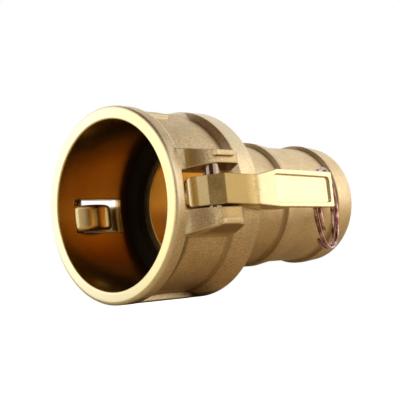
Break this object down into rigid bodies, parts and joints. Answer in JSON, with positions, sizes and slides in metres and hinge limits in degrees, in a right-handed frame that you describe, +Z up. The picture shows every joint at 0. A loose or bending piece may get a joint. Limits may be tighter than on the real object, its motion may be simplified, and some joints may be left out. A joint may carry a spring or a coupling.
{
  "type": "camlock coupling",
  "caption": "Cast brass cam and groove coupling: female socket with gasket, cam arms with pull rings on cross pins, and a barbed hose shank.",
  "frame": {"origin": "centre of the socket's mouth, in the plane of its machined front face", "axes": "+X along the socket axis from the mouth to the hose tail, +Z up along the pivot pins, near arm on -Y"},
  "size_m": [0.17, 0.1344, 0.107],
  "materials": {
    "cast_brass": "bead-blasted sand casting, machined on the mouth and in the bore",
    "gasket_rubber": "matt moulded rubber",
    "arm_brass": "satin, polished on the cam",
    "pin_steel": "ground and bright",
    "ring_steel": "passivated wire with a pink cast"
  },
  "bodies": {
    "coupler": {"coupler_body": "cast_brass", "gasket": "gasket_rubber", "near_pivot_pin": "pin_steel", "far_pivot_pin": "pin_steel"},
    "near_arm": {"near_cam_arm": "arm_brass"},
    "far_arm": {"far_cam_arm": "arm_brass"},
    "near_ring": {"near_pull_ring": "ring_steel"},
    "far_ring": {"far_pull_ring": "ring_steel"}
  },
  "joints": [
    {"name": "near_arm_pivot", "type": "hinge", "parent": "coupler", "child": "near_arm", "pos_m": [0.0215, -0.058, 0], "axis": [0, 0, -1], "range_deg": [0, 100]},
    {"name": "far_arm_pivot", "type": "hinge", "parent": "coupler", "child": "far_arm", "pos_m": [0.0215, 0.058, 0], "axis": [0, 0, 1], "range_deg": [0, 100]},
    {"name": "near_ring_swing", "type": "hinge", "parent": "near_arm", "child": "near_ring", "pos_m": [0.1037, -0.0592, -0.001], "axis": [0, 0, -1], "range_deg": [0, 29]},
    {"name": "far_ring_swing", "type": "hinge", "parent": "far_arm", "child": "far_ring", "pos_m": [0.1037, 0.0592, -0.001], "axis": [0, 0, 1], "range_deg": [0, 29]}
  ]
}
